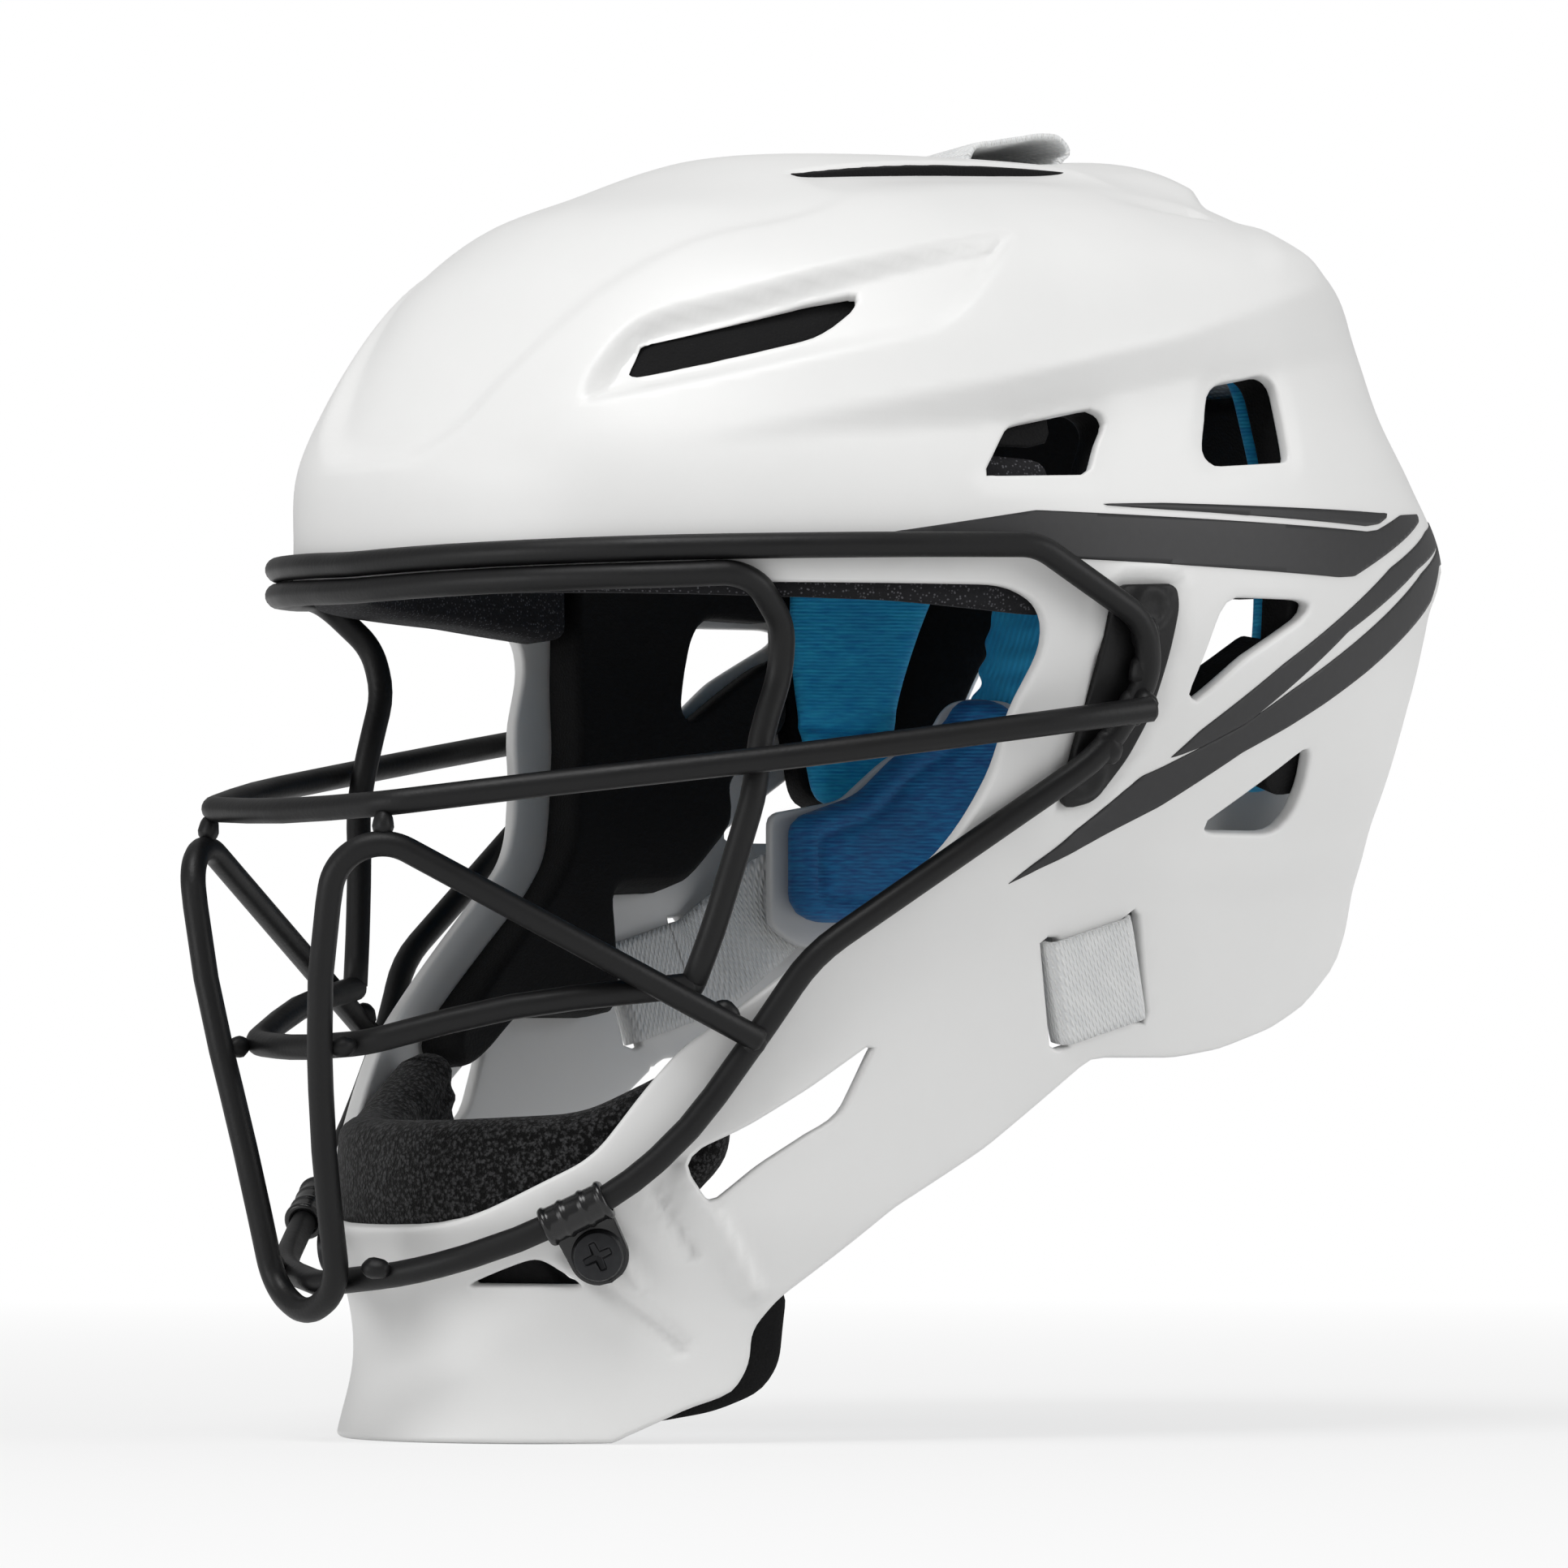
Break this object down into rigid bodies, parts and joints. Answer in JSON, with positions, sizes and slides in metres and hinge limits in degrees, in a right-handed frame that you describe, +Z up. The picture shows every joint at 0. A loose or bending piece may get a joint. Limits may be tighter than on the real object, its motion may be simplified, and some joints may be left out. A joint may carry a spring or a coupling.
{
  "type": "baseball catcher helmet",
  "caption": "Hockey-style catcher helmet: white moulded shell with side windows, black wire face cage, padded liner, and a back plate on elastic straps that swings open.",
  "frame": {"origin": "centre of the wearer's head", "axes": "+Z up, -Y the way the face looks, +X the wearer's left side"},
  "size_m": [0.2546, 0.3204, 0.3126],
  "materials": {
    "shell_plastic": "satin moulded",
    "cage_wire": "satin powder coat",
    "plated_steel": "zinc plated",
    "clip_plastic": "gloss",
    "black_foam": "matte foam",
    "brow_foam": "matte closed-cell foam",
    "blue_jersey": "matte knit",
    "terry_cloth": "matte pile",
    "grey_webbing": "woven",
    "blue_knit": "ribbed knit",
    "plate_plastic": "satin moulded"
  },
  "bodies": {
    "helmet": {"shell": "shell_plastic", "perimeter_bar": "cage_wire", "eye_port_bar": "cage_wire", "nose_bar": "cage_wire", "mouth_bar": "cage_wire", "centre_bar": "cage_wire", "cage_side_plate_left": "cage_wire", "cage_side_plate_right": "cage_wire", "plate_bolts": "plated_steel", "plate_nuts": "plated_steel", "chin_clip_left": "clip_plastic", "chin_clip_right": "clip_plastic", "clip_screws": "cage_wire", "clip_washers": "plated_steel", "clip_nuts": "plated_steel", "forehead_pad": "brow_foam", "crown_pad": "blue_jersey", "side_pad_left": "black_foam", "side_pad_right": "black_foam", "rear_pad_left": "blue_jersey", "rear_pad_right": "blue_jersey", "rear_upper_pad": "black_foam", "chin_pad": "terry_cloth", "throat_pad": "black_foam", "top_strap": "grey_webbing", "side_strap_left": "grey_webbing", "side_strap_right": "grey_webbing", "rear_sleeve_left": "blue_knit", "rear_sleeve_right": "blue_knit"},
    "rear_plate": {"back_plate": "plate_plastic", "back_plate_pad": "blue_jersey", "plate_rivets": "plated_steel", "strap_loops": "clip_plastic"}
  },
  "joints": [
    {"name": "back_plate_swing", "type": "hinge", "parent": "helmet", "child": "rear_plate", "pos_m": [0, 0.108, 0.026], "axis": [1, 0, 0], "range_deg": [0, 4], "stiffness_Nm_per_rad": 1.2, "deforming": ["side_strap_left", "side_strap_right", "rear_sleeve_left", "rear_sleeve_right"]}
  ]
}
